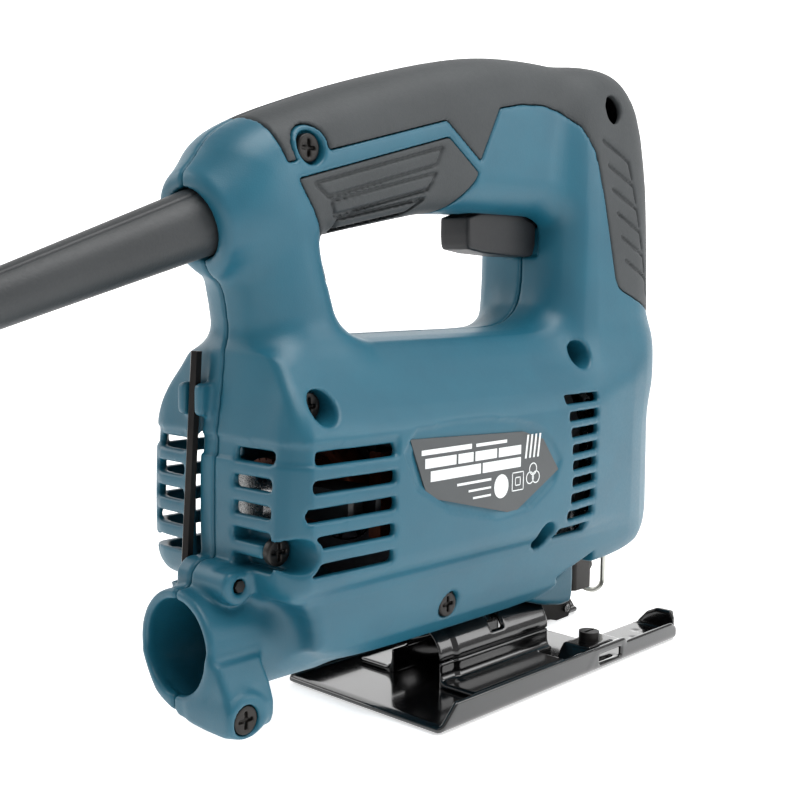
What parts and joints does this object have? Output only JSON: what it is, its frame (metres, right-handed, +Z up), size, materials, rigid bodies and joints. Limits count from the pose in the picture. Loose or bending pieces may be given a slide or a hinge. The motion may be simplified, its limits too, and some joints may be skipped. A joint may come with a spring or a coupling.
{
  "type": "corded jigsaw",
  "caption": "Corded D-handle jigsaw with clamshell housing, soft grips, trigger, tilting stamped base, dust nozzle, stowed hex key and mains cord.",
  "frame": {"origin": "middle of the machine's bounding box without the cord, on the plane the sole rests on", "axes": "+X forward towards the nose, +Y to the machine's left, +Z up"},
  "size_m": [0.4664, 0.0928, 0.197],
  "materials": {
    "housing_plastic": "fine satin texture",
    "grip_rubber": "matt overmould",
    "black_plastic": "fine satin",
    "base_enamel": "gloss black",
    "screw_steel": "dark phosphate",
    "zinc_steel": "zinc plated",
    "key_steel": "black oxide",
    "label_plate": "printed film",
    "core_steel": "stamped laminations",
    "copper_wire": "enamelled copper",
    "carbon": "pressed carbon",
    "bearing_steel": "ground",
    "die_cast": "as cast",
    "bronze": "sintered",
    "felt": "felt",
    "cord_rubber": "matt",
    "brass_pins": "nickel plated",
    "wire_insulation": "plain"
  },
  "bodies": {
    "housing": {"right_shell": "housing_plastic", "left_shell": "housing_plastic", "top_grip_right": "grip_rubber", "top_grip_left": "grip_rubber", "palm_grip_right": "grip_rubber", "palm_grip_left": "grip_rubber", "shell_screws": "screw_steel", "nameplate": "label_plate", "stator_core": "core_steel", "field_coils": "copper_wire", "rear_bearing_outer": "bearing_steel", "front_bearing_outer": "bearing_steel", "baffle_plate": "black_plastic", "brush_holders": "bronze", "carbon_brushes": "carbon", "gear_case": "die_cast", "gear_case_screws": "screw_steel", "gear_shaft": "bearing_steel", "lower_bush": "bronze", "upper_bush": "bronze", "bush_carriers": "die_cast", "dust_seal": "felt", "roller_holder": "key_steel", "roller_pin": "bearing_steel", "wire_guard": "zinc_steel", "switch_body": "black_plastic", "trigger_spring": "zinc_steel", "capacitor": "carbon", "lead_wires": "wire_insulation", "cord_clamp": "black_plastic", "cord_clamp_screws": "screw_steel", "cord_guard": "cord_rubber", "cord_tube": "cord_rubber", "cord_coil": "cord_rubber", "plug_body": "cord_rubber", "plug_pins": "brass_pins"},
    "armature": {"armature_shaft": "bearing_steel", "armature_core": "core_steel", "armature_winding": "copper_wire", "commutator": "copper_wire", "fan": "black_plastic", "rear_bearing_inner": "bearing_steel", "front_bearing_inner": "bearing_steel"},
    "gear": {"drive_gear": "core_steel", "crank_pin": "bearing_steel"},
    "plunger": {"plunger": "bearing_steel", "blade_clamp": "key_steel", "blade_clamp_screw": "screw_steel"},
    "trigger": {"trigger": "black_plastic"},
    "lock_button": {"lock_button": "black_plastic"},
    "guide_roller": {"guide_roller": "bearing_steel"},
    "base_carriage": {"base_bolt": "screw_steel", "base_nut": "zinc_steel", "base_clamp_plate": "zinc_steel"},
    "base": {"base_plate": "base_enamel", "bevel_hump": "base_enamel", "fence_screws": "key_steel"},
    "hex_key": {"hex_key": "key_steel"}
  },
  "joints": [
    {"name": "armature_spin", "type": "hinge", "parent": "housing", "child": "armature", "pos_m": [-0.028, 0, 0.068], "axis": [1, 0, 0], "continuous": true},
    {"name": "gear_spin", "type": "hinge", "parent": "housing", "child": "gear", "pos_m": [0.0485, 0, 0.0904], "axis": [1, 0, 0], "continuous": true},
    {"name": "plunger_stroke", "type": "slide", "parent": "housing", "child": "plunger", "axis": [0, 0, 1], "range_m": [-0.009, 0.009]},
    {"name": "trigger_pull", "type": "slide", "parent": "housing", "child": "trigger", "axis": [0, 0, 1], "range_m": [0, 0.005], "stiffness_N_per_m": 600, "springref_m": -0.002, "deforming": ["trigger_spring"]},
    {"name": "lock_push", "type": "slide", "parent": "housing", "child": "lock_button", "axis": [0, -1, 0], "range_m": [0, 0.0025], "stiffness_N_per_m": 400, "springref_m": -0.001},
    {"name": "guide_roller_spin", "type": "hinge", "parent": "housing", "child": "guide_roller", "pos_m": [0.055, 0, 0.0125], "axis": [0, 1, 0], "continuous": true},
    {"name": "base_slide", "type": "slide", "parent": "housing", "child": "base_carriage", "axis": [-1, 0, 0], "range_m": [0, 0.008]},
    {"name": "base_tilt", "type": "hinge", "parent": "base_carriage", "child": "base", "pos_m": [0.0115, 0, 0.01], "axis": [1, 0, 0], "range_deg": [-45, 45]},
    {"name": "hex_key_swing", "type": "hinge", "parent": "housing", "child": "hex_key", "pos_m": [-0.0985, 0.008, 0.0495], "axis": [0, -1, 0], "range_deg": [0, 90]}
  ],
  "couplings": [
    {"joint": "gear_spin", "follows": "armature_spin", "ratio": -0.12281}
  ]
}
